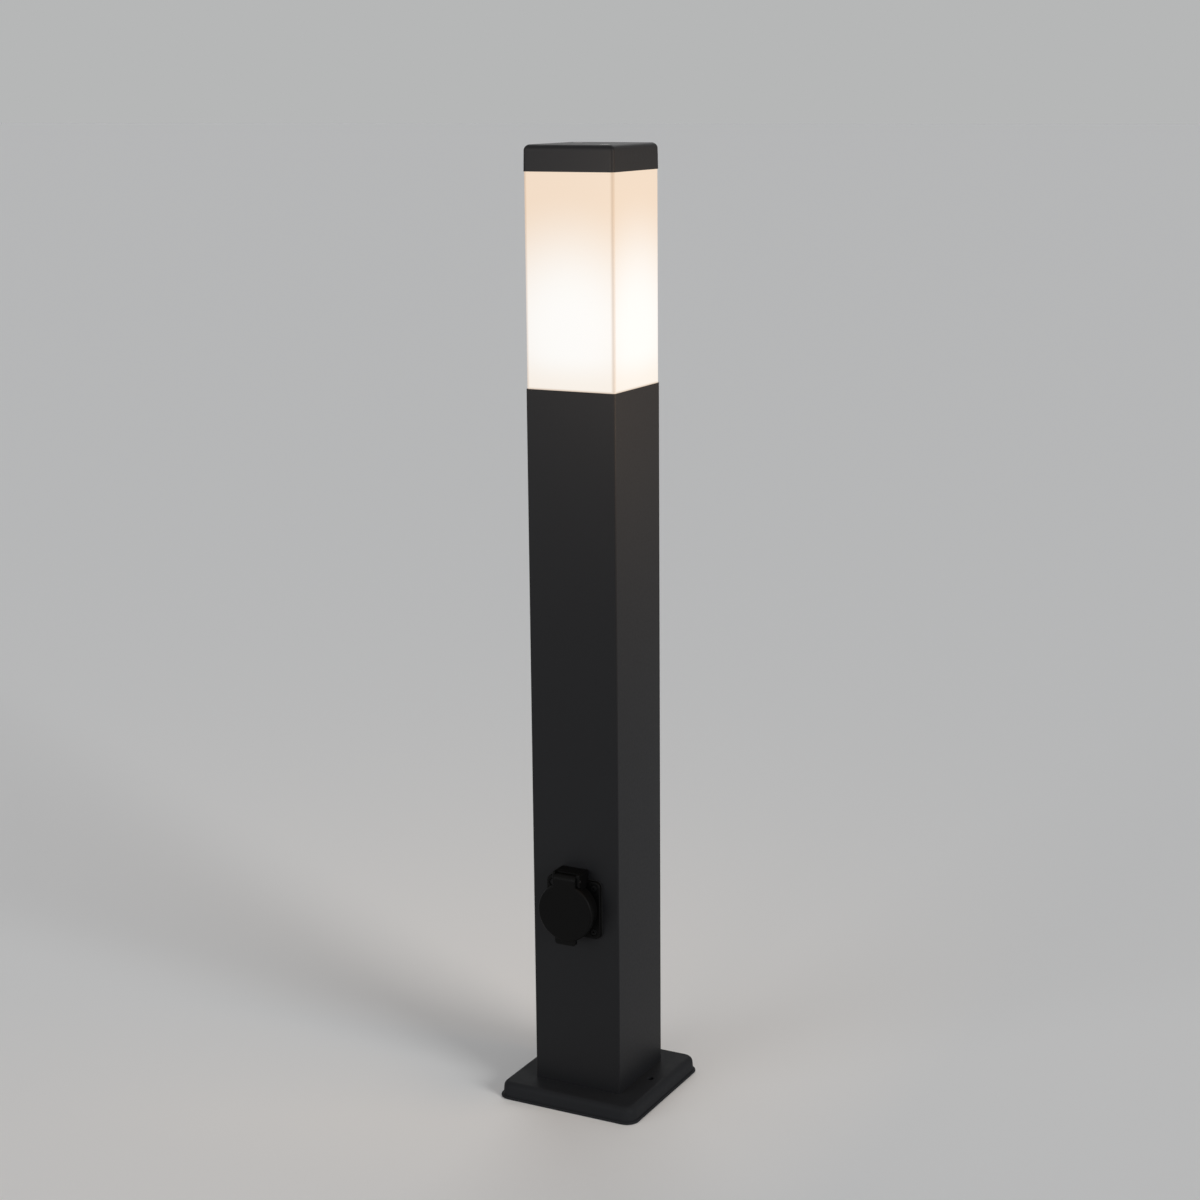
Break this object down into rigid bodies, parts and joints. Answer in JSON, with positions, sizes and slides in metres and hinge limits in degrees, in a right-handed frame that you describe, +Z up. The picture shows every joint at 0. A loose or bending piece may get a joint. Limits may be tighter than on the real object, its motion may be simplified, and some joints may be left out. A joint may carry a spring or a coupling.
{
  "type": "bollard light with socket",
  "caption": "Square garden bollard light with a lit opal head, a flat cap, a foot plate and a flap-lid socket outlet low on the post.",
  "frame": {"origin": "centre of the foot's underside, on the ground", "axes": "+Z up along the post, -Y out of the face that carries the socket outlet, +X to the right as seen from the front"},
  "size_m": [0.13, 0.13, 0.798],
  "materials": {
    "powder_coat": "satin",
    "black_polyamide": "satin",
    "black_phenolic": "satin",
    "black_rubber": "matte",
    "lead_sheath": "matte",
    "stainless_steel": "satin",
    "black_steel": "satin",
    "galvanised_steel": "matte",
    "white_polyamide": "satin",
    "white_moulding": "satin",
    "brass": "satin",
    "nickel_cap": "satin",
    "lit_globe": "satin",
    "lit_opal": "satin"
  },
  "bodies": {
    "bollard": {"foot_plate": "powder_coat", "foot_screws": "stainless_steel", "cable_grommet": "black_rubber", "post_tube": "powder_coat", "terminal_bracket": "galvanised_steel", "bracket_screw": "stainless_steel", "terminal_block": "white_polyamide", "terminal_clamps": "brass", "terminal_screws": "stainless_steel", "earth_washer": "stainless_steel", "earth_screw": "stainless_steel", "socket_gasket": "black_rubber", "socket_housing": "black_polyamide", "socket_insert": "black_polyamide", "contact_sleeves": "brass", "earth_strap": "brass", "socket_rear_cover": "black_polyamide", "rear_cover_screws": "stainless_steel", "socket_screws": "black_steel", "hinge_pin": "stainless_steel", "lid_spring": "stainless_steel", "socket_lead": "lead_sheath", "lamp_lead": "lead_sheath", "head_plate": "galvanised_steel", "head_screws": "stainless_steel", "lamp_holder": "black_phenolic", "holder_ring": "black_phenolic", "holder_shell": "brass", "holder_contact": "brass", "lamp_cap": "nickel_cap", "lamp_body": "white_moulding", "lamp_globe": "lit_globe", "lower_seal": "black_rubber", "diffuser": "lit_opal", "upper_seal": "black_rubber", "tie_rods": "stainless_steel", "top_cap": "powder_coat", "cap_screws": "stainless_steel"},
    "lid": {"socket_lid": "black_polyamide", "lid_seal": "black_rubber"}
  },
  "joints": [
    {"name": "lid_hinge", "type": "hinge", "parent": "bollard", "child": "lid", "pos_m": [0, -0.0552, 0.2033], "axis": [-1, 0, 0], "range_deg": [0, 110], "stiffness_Nm_per_rad": 0.02, "springref_deg": -28.65, "deforming": ["lid_spring"]}
  ]
}
